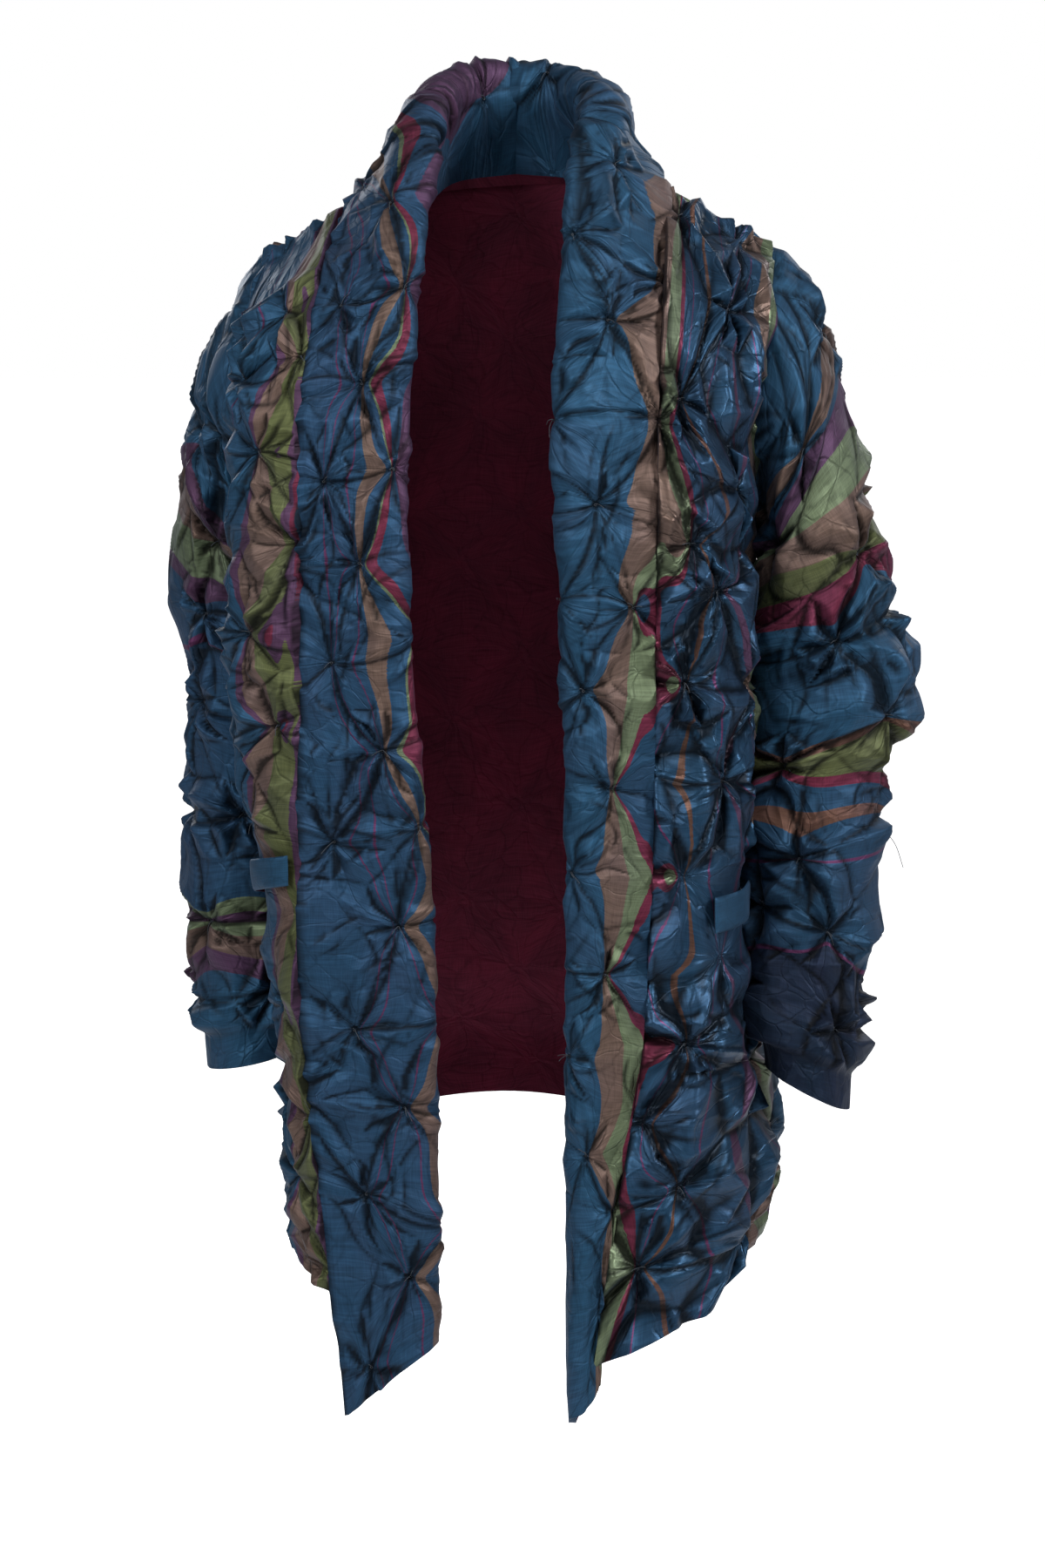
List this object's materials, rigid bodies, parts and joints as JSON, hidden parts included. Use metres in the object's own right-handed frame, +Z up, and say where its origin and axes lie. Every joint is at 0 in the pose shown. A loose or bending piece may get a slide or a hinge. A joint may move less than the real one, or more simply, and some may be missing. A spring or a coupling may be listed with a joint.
{
  "type": "open jacket",
  "caption": "Open-fronted, thigh-length jacket with a rolled shawl band, long sleeves and two pocket welts, in silk pinched into puffs.",
  "frame": {"origin": "middle of the shoulder line at the base of the neck, where the wearer or a hanger carries the jacket", "axes": "+X to the wearer's left, -Y the way the wearer faces, +Z up"},
  "size_m": [0.5925, 0.3137, 1.0538],
  "materials": {
    "body_silk": "striped shot silk taffeta, soft sheen, crimson lining",
    "band_silk": "striped shot silk taffeta, soft sheen, crimson lining",
    "sleeve_silk": "striped shot silk taffeta, soft sheen, crimson lining",
    "welt_silk": "plain shot silk taffeta, soft sheen"
  },
  "bodies": {
    "root": {"front_left": "body_silk", "front_right": "body_silk", "back": "body_silk", "band_left": "band_silk", "band_right": "band_silk", "sleeve_left": "sleeve_silk", "sleeve_right": "sleeve_silk", "welt_left": "welt_silk", "welt_right": "welt_silk"}
  },
  "joints": []
}
